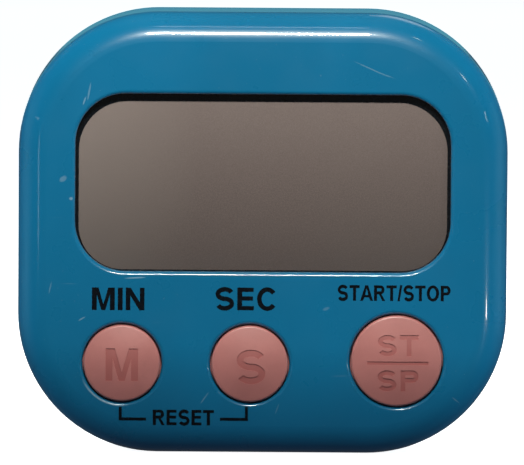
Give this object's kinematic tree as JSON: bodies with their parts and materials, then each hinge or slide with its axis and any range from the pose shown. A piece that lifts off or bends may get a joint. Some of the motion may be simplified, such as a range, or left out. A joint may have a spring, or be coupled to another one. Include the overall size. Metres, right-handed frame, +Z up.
{
  "type": "digital countdown timer",
  "caption": "Palm-sized upright countdown timer with rounded square case, wide recessed display window, round keys, magnetic back, fold-out stand and cell bay.",
  "frame": {"origin": "middle of the flat strip under the case that the timer stands on", "axes": "+X to the right seen from the face, +Y from the face to the back, +Z up"},
  "size_m": [0.072, 0.0188, 0.065],
  "materials": {
    "case_blue": "glossy",
    "rear_blue": "glossy",
    "key_pink": "matte",
    "clear_window": "clear",
    "polariser": "satin",
    "display_glass": "clear",
    "reflector": "satin",
    "zebra_rubber": "matte",
    "membrane_rubber": "matte",
    "carbon": "matte",
    "board_green": "satin",
    "epoxy_black": "glossy",
    "steel_can": "satin",
    "component_tan": "satin",
    "component_black": "satin",
    "brass_disc": "satin",
    "ceramic_grey": "matte",
    "tape_white": "matte",
    "wire_red": "satin",
    "wire_black": "satin",
    "solder": "satin",
    "cell_sleeve": "glossy",
    "nickel": "satin",
    "magnet_nickel": "polished",
    "screw_steel": "satin",
    "legend_ink": "satin"
  },
  "bodies": {
    "case": {"front_case": "case_blue", "rear_case": "rear_blue", "display_window": "clear_window", "lcd_front_polariser": "polariser", "lcd_front_glass": "display_glass", "lcd_rear_glass": "display_glass", "lcd_reflector": "reflector", "zebra_strip": "zebra_rubber", "keypad_membrane": "membrane_rubber", "contact_pills": "carbon", "circuit_board": "board_green", "chip_blob": "epoxy_black", "crystal_can": "steel_can", "board_capacitors": "component_tan", "board_resistors": "component_black", "buzzer_tape_ring": "tape_white", "buzzer_plate": "brass_disc", "buzzer_ceramic": "ceramic_grey", "buzzer_wire_red": "wire_red", "buzzer_wire_black": "wire_black", "aaa_cell": "cell_sleeve", "positive_contact": "nickel", "negative_contact": "nickel", "battery_spring": "nickel", "battery_wire_red": "wire_red", "battery_wire_black": "wire_black", "solder_joints": "solder", "magnets": "magnet_nickel", "case_screws": "screw_steel", "board_screws": "screw_steel"},
    "key_min": {"key_min": "key_pink"},
    "key_sec": {"key_sec": "key_pink"},
    "key_start_stop": {"key_start_stop": "key_pink"},
    "kickstand": {"kickstand": "rear_blue"},
    "battery_door": {"battery_door": "rear_blue"}
  },
  "joints": [
    {"name": "key_min_press", "type": "slide", "parent": "case", "child": "key_min", "axis": [0, 1, 0], "range_m": [0, 0.0008], "stiffness_N_per_m": 900, "deforming": ["keypad_membrane"]},
    {"name": "key_sec_press", "type": "slide", "parent": "case", "child": "key_sec", "axis": [0, 1, 0], "range_m": [0, 0.0008], "stiffness_N_per_m": 900, "deforming": ["keypad_membrane"]},
    {"name": "key_start_stop_press", "type": "slide", "parent": "case", "child": "key_start_stop", "axis": [0, 1, 0], "range_m": [0, 0.0008], "stiffness_N_per_m": 900, "deforming": ["keypad_membrane"]},
    {"name": "stand_hinge", "type": "hinge", "parent": "case", "child": "kickstand", "pos_m": [0, 0.0078, 0.037], "axis": [1, 0, 0], "range_deg": [0, 45]},
    {"name": "door_hinge", "type": "hinge", "parent": "case", "child": "battery_door", "pos_m": [0, 0.009, 0.041], "axis": [-1, 0, 0], "range_deg": [0, 75]}
  ]
}
